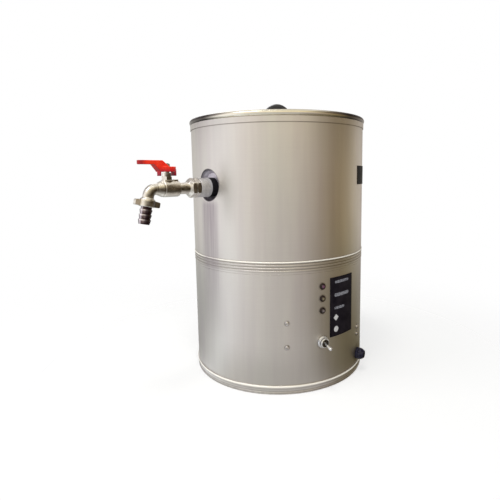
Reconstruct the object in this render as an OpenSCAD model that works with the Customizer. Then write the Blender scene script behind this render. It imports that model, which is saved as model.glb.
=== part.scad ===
// Countertop electric water boiler: a round steel casing in two courses, a hot-water tank
// hung in its mouth, a lift-off lid, a lever tap with a hose tail, and a small control panel.
// Millimetres. +Z is up. The origin is the centre of the foot ring, on the worktop.
// The tap points along -X and the control panel faces -Y.

/* [Casing] */
// Outer radius of the round casing
casing_r = 150; // [125:1:200]
// Height of the mouth ring's top face above the worktop
casing_h = 421.5; // [350:0.5:520]
// Sheet thickness of the casing, the tank and the lid
sheet = 1; // [0.8:0.1:1.5]
// Play left between fixed pieces that fit round each other
fit = 0.1; // [0.05:0.05:0.2]

/* [Foot ring] */
// Height of the ledge that the lower casing stands on
foot_h = 14.5; // [10:0.5:25]
// Radius of the bead round the top of the foot ring
foot_bead_r = 1.9; // [1:0.1:3]
// Width of the flange turned in under the foot ring
foot_flange_w = 12; // [8:1:30]
// Height of the spigot that centres the lower casing
foot_spigot_h = 7; // [4:0.5:15]
// Radius of the two fine rolls in the foot ring's wall
foot_roll_r = 0.6; // [0.3:0.1:1]

/* [Belt] */
// Height of the shoulder where the upper casing laps over the lower one
seam_z = 189.4; // [150:0.1:220]
// Depth of the lap inside the upper casing
seam_lap = 15; // [8:1:25]
// Width of the bevel on the shoulder
seam_edge = 0.5; // [0.3:0.1:0.6]
// Number of beads rolled round the lap
belt_beads = 4; // [1:1:6]
// Distance from bead to bead
belt_pitch = 4.4; // [3.5:0.1:8]
// Height of the lowest bead above the upper casing's edge
belt_start = 5; // [3:0.5:10]
// Radius of the top bead
belt_top_bead_r = 1.6; // [0.8:0.1:2]
// Radius of the other beads
belt_bead_r = 1.1; // [0.5:0.1:1.6]

/* [Mouth ring] */
// Depth of the skirt outside the casing
mouth_skirt_h = 8.3; // [6:0.1:20]
// Depth of the skirt round the tank
mouth_inner_h = 7; // [4:0.5:15]

/* [Lid] */
// Height of the rolled rim
lid_rim_h = 9; // [6:0.5:12]
// Overhang of the rim past the casing
lid_overhang = 2.2; // [1:0.1:5]
// Depth of the locating ring inside the mouth
lid_ring_h = 9; // [5:0.5:15]
// Play between the locating ring and the tank
lid_play = 2; // [1:0.5:4]
// Width of the flat border inside the rim
lid_border_w = 28; // [25:1:50]
// Rise of the centre panel above the border
lid_panel_rise = 7.5; // [3:0.5:12]
// Width of the sloping step up to the centre panel
lid_step_w = 7; // [4:0.5:15]

/* [Knob] */
// Height of the knob above the lid
knob_h = 27.3; // [20:0.1:45]
// Radius of the knob's head
knob_r = 21; // [17:0.5:30]
// Thickness of the knob's head
knob_head_h = 14; // [12:0.5:20]
// Radius of the crown on the head
knob_crown_r = 26; // [22:0.5:40]
// Rounding of the head's edge
knob_round = 3.5; // [1:0.5:4]
// Radius of the knob's neck
knob_neck_r = 9; // [6:0.5:12]
// Radius of the knob's foot
knob_foot_r = 13; // [11:0.5:16]
// Radius of the screw that holds the knob
knob_screw_r = 3; // [2:0.5:4]

/* [Tank] */
// Space between the tank and the casing
tank_gap = 18; // [14:1:30]
// Height of the tap's axis above the tank floor
floor_drop = 21; // [16:1:40]
// Depth of the rim turned down round the tank floor
floor_rim_h = 10; // [5:1:15]
// Radius of the overflow column in the middle of the tank
column_r = 20; // [15:1:30]
// Depth of the column's top below the mouth
column_drop = 38; // [32:1:60]
// Height of the gap between the column's end and its hood
hood_gap = 9; // [6:0.5:14]
// Radius of the hood over the column
hood_r = 34; // [28:0.5:50]
// Rise of the hood from its edge to its top
hood_rise = 8; // [5:0.5:12]
// Number of straps that carry the hood
straps = 3; // [3:1:6]
// Width of each strap
strap_w = 8; // [5:0.5:12]
// Length of strap on the column
strap_grip = 14; // [8:1:20]

/* [Tap joint] */
// Depth of the tap's axis below the mouth
tap_drop = 102; // [80:0.5:140]
// Radius of the hole in the casing
tap_hole_r = 24.8; // [22:0.1:30]
// Height of the hole's centre above the tap's axis
tap_hole_rise = 3.3; // [0:0.1:4]
// Depth of the dished cup behind the hole
cup_depth = 9; // [6:0.5:10]
// Radius of the pipe socket on the tank
socket_r = 10.4; // [8:0.1:13]
// Radius of the water way through the socket
socket_bore_r = 7; // [5:0.5:9]
// Thickness of the rubber seal's wall round the socket
seal_wall = 4.6; // [3:0.1:6]
// Length of the rubber seal that stands out of the casing
seal_out = 5; // [2:0.5:8]
// Length of the grey spacer
spacer_l = 15.5; // [8:0.5:25]
// Wall of the spacer and the nuts, from the socket to a flat
nut_wall = 2.6; // [2:0.1:4]
// Thickness of the lock nut
locknut_l = 7; // [5:0.5:12]

/* [Tap body] */
// Length of the hexagon at the tap's inlet
inlet_hex_l = 6.7; // [5:0.1:12]
// Radius of the neck
neck_r = 8.8; // [7:0.1:10]
// Length of the neck with its two cones
neck_l = 18.5; // [12:0.5:30]
// Radius of the valve housing
housing_r = 12; // [11:0.5:16]
// Length of the valve housing
housing_l = 25.2; // [22:0.1:32]
// Radius of the tap's water way
water_r = 5; // [3:0.5:6]
// Radius of the valve ball
ball_r = 7.5; // [6.5:0.5:9]
// Distance from the stem's axis back to the housing's front face
stem_back = 7.7; // [7.7:0.1:12]
// Radius of the boss round the stem
boss_r = 8.4; // [8.2:0.1:10]
// Height of the stop block's top above the tap's axis
stop_h = 13.2; // [12.5:0.1:14]
// Width across the flats of the packing nut
packing_af = 14; // [12:0.5:15]
// Radius of the packing nut's collar
packing_r = 6.4; // [5:0.1:6.8]
// Radius of the stem
stem_r = 4; // [3:0.1:4.5]
// Running play round the stem
stem_play = 0.05; // [0.02:0.01:0.1]

/* [Lever] */
// Height of the hub's lower edge above the tap's axis
hub_z = 24.2; // [23:0.1:30]
// Thickness of the hub
hub_h = 7.3; // [6:0.1:12]
// Radius of the hub
hub_r = 13.3; // [12:0.1:18]
// Reach of the grip's tip from the stem's axis
grip_reach = 43.4; // [38:0.1:80]
// Height of the grip's top above the hub
grip_rise = 8.8; // [6:0.1:15]
// Thickness of the grip
grip_h = 5.7; // [4:0.1:8]
// Width of the grip
grip_w = 12.5; // [9:0.5:20]
// Length of the stop tabs turned down under the hub
tab_h = 5.8; // [2:0.1:6]
// Width of the stop tabs
tab_w = 10; // [6:0.5:12]
// Width across the flats of the lever's nut
lever_nut_af = 10; // [8:0.5:11]
// Thickness of the lever's nut
lever_nut_h = 4.2; // [3:0.1:6]

/* [Outlet] */
// Radius of the spout pipe
spout_r = 7.9; // [7:0.1:9]
// Radius of the bend, measured at the pipe's middle
bend_r = 10.9; // [10:0.1:20]
// Angle through which the spout turns down
bend_angle = 77.5; // [60:0.5:90]
// Length of the cone from the housing to the bend
spout_cone_l = 11.4; // [6:0.1:16]
// Length of the straight pipe after the bend
spout_end_l = 10.6; // [8:0.1:16]
// Wall of the winged union nut
union_wall = 1.6; // [1.2:0.1:4]
// Span of the union nut's two lugs
lug_span = 37.4; // [30:0.1:50]
// Thickness of the lugs
lug_t = 6.5; // [4:0.5:9]
// Radius of the hose tail's barbs
barb_r = 8.7; // [7.8:0.1:10]
// Number of barbs
barbs = 3; // [2:1:5]
// Distance from barb to barb
barb_pitch = 7; // [5:0.5:9]

/* [Control panel] */
// Width of the control plate, measured round the casing
panel_w = 53; // [40:1:70]
// Height of the control plate
panel_h = 96; // [70:1:110]
// Height of the control plate's lower edge
panel_z = 82; // [70:1:100]
// Thickness of the plates
plate_t = 0.8; // [0.5:0.1:1.5]
// Distance of the lamps from the control plate's edge, round the casing
lamp_side = 14.6; // [10:0.1:30]
// Height of the middle lamp
lamp_z = 147.7; // [130:0.1:160]
// Distance from lamp to lamp
lamp_pitch = 19.1; // [14:0.1:25]
// Radius of the lamps' bezels
lamp_r = 5; // [4:0.1:8]
// Distance of the switch from the control plate's edge, round the casing
switch_side = 13.7; // [12:0.1:30]
// Height of the switch
switch_z = 77.7; // [50:0.1:100]
// Radius of the switch's threaded bush
bush_r = 5.9; // [5:0.1:7]
// Length of the switch's bush outside the casing
bush_out = 7.8; // [7.6:0.1:11]
// Distance of the switch lever's pivot from the casing
pivot_x = 4; // [3:0.1:4.4]
// Reach of the switch lever from its pivot to the middle of its tip
switch_reach = 17.8; // [15:0.1:25]
// Tilt of the switch lever below the bush's axis
switch_tilt = 11.5; // [5:0.5:12]

/* [Nameplate] */
// Width of the nameplate, measured round the casing
nameplate_w = 50; // [30:1:80]
// Height of the nameplate
nameplate_h = 30.2; // [15:0.1:40]
// Depth of the nameplate's top edge below the mouth
nameplate_drop = 70.6; // [40:0.5:100]

/* [Cable gland] */
// Height of the gland's axis
gland_z = 29.5; // [27:0.5:60]
// Width across the flats of the gland's hexagons
gland_af = 19; // [16:0.5:24]
// Length of the hexagon that bears on the casing
gland_hex_l = 4.2; // [3:0.1:6]
// Distance of the gland's mouth from the casing
gland_out = 13.4; // [12:0.1:20]
// Radius of the gland's thread
gland_shank_r = 7.8; // [7:0.1:7.9]
// Radius of the cable that the seal takes
cable_r = 4; // [3:0.1:5]

/* [Inlet] */
// Height of the water inlet at the back
inlet_z = 45; // [35:1:80]
// Radius of the inlet pipe's thread
inlet_r = 10.48; // [8:0.01:13]
// Thickness of the inlet's nut
inlet_nut_t = 6.5; // [5:0.5:9]
// Length of thread that stands clear of the nut
inlet_out = 13; // [10:0.5:20]

/* [Screws] */
// Radius of the screws' heads
screw_head_r = 3.6; // [2.5:0.1:5]
// Radius of the screws' shanks
screw_r = 1.9; // [1:0.1:2.5]
// Height of the lower front screw
front_screw_z = 75.5; // [60:0.1:90]
// Distance between the two front screws
front_screw_gap = 38.4; // [20:0.1:50]
// Height of the lower side screw
side_screw_z = 66; // [55:0.5:90]
// Distance between the two side screws
side_screw_gap = 12; // [9:0.5:20]

/* [Hidden] */
$fn = 96;

steel = [0.72, 0.70, 0.66];
polished = [0.80, 0.78, 0.72];
nickel = [0.74, 0.70, 0.60];
black = [0.09, 0.09, 0.10];
navy = [0.07, 0.07, 0.12];
red = [0.85, 0.12, 0.08];
grey = [0.62, 0.62, 0.62];
brass = [0.75, 0.62, 0.32];

// Casing and tank
casing_in_r = casing_r - sheet;
tank_out_r = casing_in_r - tank_gap;
tank_r = tank_out_r - sheet;
spigot_r = casing_in_r - fit;
plate_seat = sheet * 1.2;

// Lid
rim_flat = 0.3;
rim_r = (lid_rim_h + rim_flat) / 2;
rim_mid_r = casing_r + lid_overhang - rim_r;
border_z = casing_h + lid_rim_h / 2;
lid_top_z = border_z + lid_panel_rise + sheet / 2;
panel_edge_r = rim_mid_r - lid_border_w - lid_step_w;

// Tank fittings
tap_z = casing_h - tap_drop;
floor_z = tap_z - floor_drop;
column_top = casing_h - column_drop;
collar_w = 9;

// Tap, as distances out from the casing
socket_end = seal_out + spacer_l + locknut_l + inlet_hex_l;
locknut_x = seal_out + spacer_l;
inlet_step = 0.8;
tap_x = locknut_x + locknut_l;
neck_x = tap_x + inlet_step + inlet_hex_l;
ball_play = 0.4;
housing_x = neck_x + neck_l;
front_x = housing_x + housing_l;
stem_x = front_x - stem_back;
bend_x = front_x + spout_cone_l;
nut_af = 2 * (socket_r + nut_wall);
seal_r = socket_r + seal_wall;
lever_hole_r = stem_r - 1;
recess_z = hub_z + 3.5;
hub_top = hub_z + hub_h;
packing_z = housing_r + 0.5;
grip_z = hub_z + hub_h + grip_rise;

// Union nut and hose tail, as distances along the outlet
union_start = 4.8;
union_bore_r = barb_r + 0.8;
flange_t = 2.9;
union_end = spout_end_l + 5.5;
tail_r = barb_r - 1.1;
first_barb = union_end + 3.6;
tail_end = first_barb + barbs * barb_pitch;

// Panel fittings, as angles round the casing
tap_az = -90;
panel_az = turn_of(-4.2);
lamp_az = panel_az - turn_of(panel_w / 2 + lamp_side);
switch_az = panel_az - turn_of(panel_w / 2 + switch_side);
front_screw_az = turn_of(-103.2);
side_screw_az = turn_of(48);
gland_az = turn_of(50.6);
nameplate_az = turn_of(67.4);
inlet_az = 180;
inlet_nut_x = 1;
lamp_wall = 1.8;
lamp_out = 2.2;
lamp_colours = [[0.45, 0.20, 0.42], [0.66, 0.64, 0.46], [0.55, 0.52, 0.55]];

washer_x = 0.3;
washer_t = 0.8;
switch_nut_t = 2.6;
pivot_pin_r = 0.7;
pivot_pin_l = 4.2;
gland_thread_l = 2.4;
seal_t = 1.2;
seal_x = 3;

// Reach of a cutting tool past the sheet that it cuts
through = 5;
// Play between faces that are screwed up against each other
seat_play = fit / 2;

// Angle round the casing of a distance measured along it
function turn_of(arc) = arc / casing_r * 180 / PI;

// Local frame on the casing: +X straight out, +Z up
module on_wall(az, z) {
    rotate([0, 0, az - 90]) translate([casing_r, 0, z]) children();
}

module on_tap() {
    on_wall(tap_az, tap_z) children();
}

// Local frame after the spout's bend: +X along the outlet
module on_outlet() {
    on_tap() translate([bend_x, 0, -bend_r]) rotate([0, bend_angle, 0])
        translate([0, 0, bend_r]) children();
}

// Middle of the casing's hole for the tap
module on_hole() {
    on_wall(tap_az, tap_z + tap_hole_rise) children();
}

module on_stem() {
    on_tap() translate([stem_x, 0, 0]) children();
}

// Solid turned about the local X axis from [radius, distance] points
module turned(points) {
    rotate([0, 90, 0]) rotate_extrude() polygon(points);
}

// Ring of rectangular section about the local X axis
module collar(r_in, r_out, x0, x1) {
    turned([[r_in, x0], [r_out, x0], [r_out, x1], [r_in, x1]]);
}

// Round rod or hole along the local X axis
module rod(r, x0, x1) {
    translate([x0, 0, 0]) rotate([0, 90, 0]) cylinder(r = r, h = x1 - x0);
}

// Hexagonal nut along the local X axis, with its corners turned off at both faces
module hex_nut(af, bore_r, x0, x1) {
    corner_r = af / sqrt(3);
    cut = corner_r - af / 2;
    difference() {
        intersection() {
            translate([x0, 0, 0]) rotate([0, 90, 0]) cylinder(r = corner_r, h = x1 - x0, $fn = 6);
            turned([
                [0, x0], [af / 2, x0], [corner_r + 0.1, x0 + cut * 0.6],
                [corner_r + 0.1, x1 - cut * 0.6], [af / 2, x1], [0, x1]
            ]);
        }
        rod(bore_r, x0 - 1, x1 + 1);
    }
}

// Upright cylinder between two heights
module cylinder_at(r, z0, z1) {
    translate([0, 0, z0]) cylinder(r = r, h = z1 - z0);
}

// Ring about the vertical axis
module tube(r_in, r_out, z0, z1) {
    rotate_extrude() translate([r_in, z0]) square([r_out - r_in, z1 - z0]);
}

// Curved plate that lies on the casing, centred on an angle
module wall_plate(az, w, z0, h) {
    sweep = turn_of(w);
    rotate([0, 0, az - 90 - sweep / 2]) rotate_extrude(angle = sweep)
        translate([casing_r + fit / 2, z0]) square([plate_t, h]);
}

// Every hole that something passes through in the lower casing
module lower_holes() {
    for (i = [-1:1]) on_wall(lamp_az, lamp_z + i * lamp_pitch) rod(lamp_r - 1 + fit, -through, through);
    on_wall(switch_az, switch_z) rod(bush_r + fit, -through, through);
    for (i = [0:1]) {
        on_wall(front_screw_az, front_screw_z + i * front_screw_gap) rod(screw_r + fit, -through, through);
        on_wall(side_screw_az, side_screw_z + i * side_screw_gap) rod(screw_r + fit, -through, through);
    }
    on_wall(gland_az, gland_z) rod(gland_shank_r + fit, -through, through);
    on_wall(inlet_az, inlet_z) rod(inlet_r + fit, -through, through);
}

// ---- Casing ----

// Foot ring: rolled wall with a bead, a flange turned in below and a spigot above
module base_ring() {
    ledge_r = spigot_r - 2 * sheet;
    roll_z = 1.5;
    roll_pitch = 2.2;
    color(steel) rotate_extrude() difference() {
        union() {
            translate([casing_r - foot_flange_w, 0]) square([foot_flange_w, foot_h - sheet]);
            translate([ledge_r, foot_h - 2 * sheet]) square([casing_r - ledge_r, 2 * sheet]);
            translate([casing_r, foot_h - foot_bead_r]) circle(r = foot_bead_r);
            for (i = [0:1]) translate([casing_r, roll_z + roll_pitch * i]) circle(r = foot_roll_r);
            translate([spigot_r - sheet, foot_h - sheet]) square([sheet, foot_spigot_h + sheet]);
        }
        translate([0, plate_seat]) square([spigot_r - sheet, casing_h]);
    }
}

// Bottom cover: a plate on the foot ring's flange with a stiffening swage and slots for air
module base_plate() {
    swage_r = casing_r * 0.62;
    swage_w = 6;
    slot_w = 4;
    slot_l = casing_r * 0.12;
    slot_r = casing_r * 0.4;
    slot_step = 30;
    color(steel) difference() {
        union() {
            cylinder_at(spigot_r - 2 * sheet, plate_seat, plate_seat + sheet);
            tube(swage_r - swage_w, swage_r, plate_seat, plate_seat + 2 * sheet);
        }
        tube(swage_r - swage_w + sheet, swage_r - sheet, plate_seat - 1, plate_seat + sheet);
        for (a = [0:slot_step:359]) rotate([0, 0, a]) translate([slot_r, -slot_w / 2, plate_seat - 1])
            cube([slot_l, slot_w, 3 * sheet + 1]);
    }
}

// Lower casing: its top is set in by one sheet so that the upper casing laps over it
module lower_casing() {
    joggle = sheet + fit;
    lap_top = seam_z + seam_lap;
    color(steel) difference() {
        rotate_extrude() polygon([
            [casing_in_r, foot_h], [casing_r, foot_h], [casing_r, seam_z - seam_edge],
            [casing_r - seam_edge, seam_z], [casing_r - joggle, seam_z], [casing_r - joggle, lap_top],
            [casing_in_r - joggle, lap_top], [casing_in_r - joggle, seam_z - sheet],
            [casing_in_r, seam_z - 2 * sheet]
        ]);
        lower_holes();
    }
}

// Upper casing: straight wall with the belt of beads and the hole for the tap
module upper_casing() {
    bead_set = 0.35;
    color(steel) difference() {
        rotate_extrude() {
            translate([casing_in_r, seam_z]) square([sheet, casing_h - sheet - seam_z]);
            for (i = [0:belt_beads - 1]) {
                r = i == belt_beads - 1 ? belt_top_bead_r : belt_bead_r;
                intersection() {
                    translate([casing_r - r * bead_set, seam_z + belt_start + i * belt_pitch]) circle(r = r);
                    translate([casing_in_r, seam_z]) square([10, casing_h]);
                }
            }
        }
        on_hole() rod(tap_hole_r, -through, through);
    }
}

// Mouth ring: a channel that closes the space between casing and tank
module mouth_ring() {
    z = casing_h;
    color(steel) rotate_extrude() {
        translate([tank_r, z - sheet]) square([casing_r + fit + sheet - tank_r, sheet]);
        translate([casing_r + fit, z - mouth_skirt_h]) square([sheet, mouth_skirt_h]);
        translate([tank_out_r + fit, z - mouth_inner_h]) square([sheet, mouth_inner_h]);
    }
}

// ---- Tank ----

module inner_tank() {
    color(polished) difference() {
        tube(tank_r, tank_out_r, floor_z - floor_rim_h - 2, casing_h - sheet);
        on_tap() rod(socket_bore_r, -casing_r / 2, 0);
    }
}

// Tank floor: flat disc with its rim turned down inside the wall, open under the column's collar
module tank_floor() {
    r = tank_r - fit;
    hole_r = column_r + collar_w / 2;
    color(polished) rotate_extrude() {
        translate([hole_r, floor_z - sheet]) square([r - hole_r, sheet]);
        translate([r - sheet, floor_z - floor_rim_h]) square([sheet, floor_rim_h]);
    }
}

// Overflow column: plain pipe that stands through the floor
module overflow_column() {
    color(polished) tube(column_r - sheet, column_r, floor_z - floor_rim_h, column_top);
}

// Column collar: ring round the column that lies on the floor and closes its hole
module column_collar() {
    color(polished) tube(column_r + seat_play, column_r + collar_w, floor_z, floor_z + 2 * sheet);
}

// Column cap: a pressed hood over the column's open end, on straps that grip the column
module column_cap() {
    rim_z = column_top + hood_gap;
    top_z = rim_z + hood_rise;
    lip_z = rim_z + 3;
    lip_set = 2;
    crown_r = hood_r * 0.65;
    strap_t = 1.5 * sheet;
    strap_turn = 45;
    color(polished) {
        rotate_extrude() polygon([
            [0, top_z], [crown_r, top_z], [hood_r - lip_set, lip_z], [hood_r, rim_z],
            [hood_r - sheet, rim_z],
            [hood_r - lip_set - sheet, lip_z - sheet], [crown_r, top_z - sheet], [0, top_z - sheet]
        ]);
        for (i = [0:straps - 1]) rotate([0, 0, strap_turn + i * 360 / straps])
            translate([column_r + fit, -strap_w / 2, column_top - strap_grip])
                cube([strap_t, strap_w, strap_grip + hood_gap + hood_rise - sheet / 2]);
    }
}

// ---- Lid ----

// Lid: rolled rim, flat border and raised centre panel, pressed from one disc
module lid_disc() {
    color(polished) difference() {
        rotate_extrude() {
            intersection() {
                translate([rim_mid_r, casing_h + rim_r - rim_flat]) circle(r = rim_r);
                translate([0, casing_h]) square([casing_r * 2, 2 * lid_rim_h]);
            }
            polygon([
                [0, lid_top_z - sheet], [panel_edge_r, lid_top_z - sheet],
                [panel_edge_r + lid_step_w, border_z - sheet / 2], [rim_mid_r, border_z - sheet / 2],
                [rim_mid_r, border_z + sheet / 2], [panel_edge_r + lid_step_w, border_z + sheet / 2],
                [panel_edge_r, lid_top_z], [0, lid_top_z]
            ]);
        }
        cylinder_at(knob_screw_r + fit, lid_top_z - through, lid_top_z + through);
    }
}

// Locating ring: a strip rolled into a ring and welded under the lid's border
module lid_ring() {
    r = tank_r - lid_play;
    color(polished) tube(r - sheet, r, casing_h - lid_ring_h, border_z - sheet / 2);
}

// Knob: moulded mushroom with a flared foot and a blind hole for its screw
module lid_knob() {
    top = lid_top_z + knob_h;
    foot_edge = 1.5;
    foot_slope = 3.5;
    flare = 3;
    color(black) difference() {
        rotate_extrude() {
            intersection() {
                translate([0, top - knob_crown_r]) circle(r = knob_crown_r);
                union() {
                    translate([0, top - knob_head_h]) square([knob_r - knob_round, knob_head_h]);
                    translate([0, top - knob_head_h + knob_round]) square([knob_r, knob_head_h - knob_round]);
                    translate([knob_r - knob_round, top - knob_head_h + knob_round]) circle(r = knob_round);
                }
                square([knob_r, top]);
            }
            polygon([
                [0, lid_top_z], [knob_foot_r, lid_top_z], [knob_foot_r, lid_top_z + foot_edge],
                [knob_neck_r, lid_top_z + foot_edge + foot_slope],
                [knob_neck_r, top - knob_head_h + 1 - flare],
                [knob_neck_r + flare, top - knob_head_h + 1], [0, top - knob_head_h + 1]
            ]);
        }
        cylinder_at(knob_screw_r + fit, lid_top_z - 1, lid_top_z + knob_h * 0.55);
    }
}

module knob_screw() {
    z = lid_top_z - sheet;
    washer_h = 1;
    head_h = 2;
    slot_w = 1;
    color(polished) difference() {
        union() {
            cylinder_at(knob_screw_r, z - washer_h, lid_top_z + knob_h * 0.5);
            cylinder_at(knob_screw_r * 2.2, z - washer_h, z);
            cylinder_at(knob_screw_r * 1.7, z - washer_h - head_h, z - washer_h);
        }
        translate([-knob_screw_r * 2, -slot_w / 2, z - washer_h - 1.5 * head_h])
            cube([knob_screw_r * 4, slot_w, head_h]);
    }
}

// ---- Tap joint ----

// Socket welded to the tank: a pipe with a shoulder that carries the cup
module tank_socket() {
    back_x = tank_out_r - casing_r;
    shoulder = 3.5;
    color(grey) difference() {
        on_tap() difference() {
            union() {
                rod(socket_r, back_x - 2, socket_end);
                rod(socket_r + shoulder, back_x - 2, -cup_depth - sheet);
            }
            rod(socket_bore_r, back_x - 5, socket_end + 5);
        }
        cylinder_at(tank_out_r + fit, tap_z - 2 * socket_r, tap_z + 2 * socket_r);
    }
}

// Dished cup that closes the casing's hole round the socket
module tap_cup() {
    play = 0.2;
    lip_r = tap_hole_r - play;
    lip_x = sqrt(casing_r * casing_r - tap_hole_r * tap_hole_r) - casing_r - play;
    floor_r = seal_r + tap_hole_rise + 0.5;
    back_x = -cup_depth - sheet;
    color(grey) difference() {
        on_hole() turned([
            [0, back_x], [floor_r + sheet / 2, back_x], [lip_r, lip_x - 1.4 * sheet], [lip_r, lip_x],
            [floor_r, -cup_depth], [0, -cup_depth]
        ]);
        on_tap() rod(socket_r + fit, back_x - 5, 5);
    }
}

// Rubber seal clamped between the cup and the spacer
module tap_seal() {
    edge = 1;
    color(black) on_tap() turned([
        [socket_r + fit, -cup_depth], [seal_r, -cup_depth], [seal_r, seal_out - edge],
        [seal_r - edge, seal_out], [socket_r + fit, seal_out]
    ]);
}

// Turned spacer between the seal and the lock nut
module tap_spacer() {
    r = socket_r + nut_wall + 1.7;
    edge = 0.6;
    color(grey) on_tap() turned([
        [socket_r + fit, seal_out], [r - edge, seal_out], [r, seal_out + edge],
        [r, locknut_x - edge], [r - edge, locknut_x], [socket_r + fit, locknut_x]
    ]);
}

module tap_locknut() {
    color(nickel) on_tap() hex_nut(nut_af, socket_r + fit, locknut_x, tap_x);
}

// ---- Tap ----

// Tap body: inlet hexagon, neck and valve housing, bored through, with a boss for the stem
module tap_body() {
    cone_r = nut_af / 2 - 0.6;
    chamfer = 1.5;
    stop_l = 6.8;
    stop_w = 12;
    color(nickel) on_tap() difference() {
        union() {
            collar(socket_r, nut_af / 2 - 1, tap_x, tap_x + inlet_step);
            hex_nut(nut_af, socket_r, tap_x + inlet_step, neck_x);
            turned([
                [0, neck_x - chamfer], [cone_r, neck_x - chamfer], [cone_r, neck_x], [neck_r, neck_x + 2.5],
                [neck_r, housing_x - 1], [housing_r - chamfer, housing_x], [housing_r, housing_x + chamfer],
                [housing_r, front_x - 1], [housing_r - 1, front_x], [0, front_x]
            ]);
            translate([stem_x, 0, 0]) cylinder_at(boss_r, 0, packing_z);
            translate([housing_x + 2.5, -stop_w / 2, 0]) cube([stop_l, stop_w, stop_h]);
        }
        rod(socket_r + fit, tap_x - 1, socket_end + fit);
        rod(water_r, tap_x, front_x + 1);
        rod(ball_r + ball_play, stem_x - ball_r - ball_play, front_x + 1);
        translate([stem_x, 0, 0]) cylinder_at(stem_r + stem_play, 0, packing_z + 10);
    }
}

// Bend of a pipe between the housing and the outlet, with a straight end after it
module spout_pipe(r, end) {
    translate([bend_x, 0, -bend_r]) {
        rotate([90, 0, 0]) rotate([0, 0, 90 - bend_angle])
            rotate_extrude(angle = bend_angle) translate([bend_r, 0]) circle(r = r);
        rotate([0, bend_angle, 0]) translate([0, 0, bend_r]) rod(r, 0, end);
    }
}

// Spout: cone off the housing with a socket for the bent pipe, bored through and cut round the boss
module tap_spout() {
    socket = 0.4;
    start = front_x + seat_play;
    root_r = housing_r - 0.6;
    root_l = 2;
    thread_r = union_bore_r - fit;
    color(nickel) difference() {
        union() {
            on_tap() turned([
                [0, start], [housing_r - 1, start], [root_r, start + root_l / 2], [root_r, start + root_l],
                [spout_r + socket, bend_x - 2], [spout_r + socket, bend_x + socket], [0, bend_x + socket]
            ]);
            on_tap() spout_pipe(spout_r, spout_end_l);
            on_outlet() turned([
                [spout_r - 1, union_start - 1.5], [spout_r, union_start - 1.5], [thread_r, union_start],
                [thread_r, spout_end_l], [spout_r - 1, spout_end_l]
            ]);
        }
        on_tap() rod(water_r + socket, front_x - 1, bend_x + socket);
        on_tap() spout_pipe(water_r, spout_end_l + 1);
        on_stem() cylinder_at(boss_r + fit, 0, packing_z + 1);
    }
}

// Winged union nut: domed shoulder, round body and two lugs
module union_nut() {
    r_out = union_bore_r + union_wall;
    root_r = r_out - 1.2;
    color(nickel) on_outlet() difference() {
        union() {
            turned([
                [0, union_start + 0.3], [r_out - 0.9, union_start + 0.3], [r_out - 0.3, union_start + 1.5],
                [r_out, union_start + 3.5], [r_out, union_end - 0.8], [r_out - 0.8, union_end], [0, union_end]
            ]);
            for (s = [-1, 1]) translate([0, lug_t / 2, 0]) rotate([90, 0, 0])
                linear_extrude(height = lug_t) polygon([
                    [union_start + 1.5, s * root_r], [union_end - 0.5, s * root_r],
                    [union_end - 0.8, s * (lug_span / 2 - 1)], [union_end - 1.8, s * lug_span / 2],
                    [union_start + 3.4, s * lug_span / 2], [union_start + 2.4, s * (lug_span / 2 - 1)]
                ]);
        }
        rod(union_bore_r, union_start - 1, spout_end_l + flange_t + fit);
        rod(barb_r + 0.2, union_start, union_end + 1);
    }
}

// Hose tail: flange held by the nut, then barbs with short round lands
module hose_tail() {
    land = 1.2;
    color(nickel) on_outlet() difference() {
        union() {
            rod(union_bore_r - fit, spout_end_l, spout_end_l + flange_t);
            rod(tail_r, spout_end_l + 1, tail_end - 1);
            for (i = [0:barbs - 1]) turned([
                [0, first_barb + i * barb_pitch], [barb_r, first_barb + i * barb_pitch],
                [barb_r, first_barb + i * barb_pitch + land],
                [tail_r - 0.2, first_barb + (i + 1) * barb_pitch],
                [0, first_barb + (i + 1) * barb_pitch]
            ]);
        }
        rod(water_r + 0.4, spout_end_l - 1, tail_end + 1);
    }
}

// Packing nut: hexagon and collar round the stem, on the body's boss
module packing_nut() {
    hex_h = 5;
    hex_top = packing_z + hex_h;
    hub_play = 1.6;
    color(nickel) on_stem() rotate([0, -90, 0]) {
        hex_nut(packing_af, stem_r + stem_play, packing_z + seat_play, hex_top);
        collar(stem_r + stem_play, packing_r, hex_top - 0.1, hub_z - hub_play);
    }
}

// ---- Lever ----

module valve_ball() {
    color(polished) on_stem() difference() {
        sphere(r = ball_r);
        rod(water_r - 0.5, -20, 20);
        translate([0, 0, ball_r - 1]) cylinder(r = ball_r, h = 5);
    }
}

// Stem: thick shaft up to the hub, then a thinner end through it
module tap_stem() {
    color(nickel) on_stem() {
        cylinder_at(stem_r, ball_r - 1, recess_z);
        cylinder_at(lever_hole_r, recess_z, hub_top + lever_nut_h + 0.6);
    }
}

// Lever seen from the side: hub, sloping arm and flat grip
module lever_side() {
    slope_x = 21.5;
    rise_x = 9.8;
    polygon([
        [0, hub_z], [hub_r - 0.7, hub_z], [hub_r, hub_z + 1.2], [slope_x, grip_z - grip_h],
        [grip_reach, grip_z - grip_h], [grip_reach, grip_z], [rise_x, grip_z], [0.4, hub_top], [0, hub_top]
    ]);
}

// Lever seen from above: the arm narrows from the hub to a grip with a round end
module lever_plan() {
    tip_r = grip_w * 0.62;
    tip_l = 4;
    root_w = 2 * (hub_r - 3);
    knee_x = hub_r - 1;
    knee_w = grip_w + 3;
    arm_x = 22;
    polygon([
        [0, -root_w / 2], [knee_x, -knee_w / 2], [arm_x, -grip_w / 2], [grip_reach - tip_l, -grip_w / 2],
        [grip_reach - tip_l, grip_w / 2], [arm_x, grip_w / 2], [knee_x, knee_w / 2], [0, root_w / 2]
    ]);
    intersection() {
        translate([grip_reach - tip_r, 0]) circle(r = tip_r);
        translate([grip_reach - grip_w, -grip_w / 2]) square([grip_w, grip_w]);
    }
}

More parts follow.
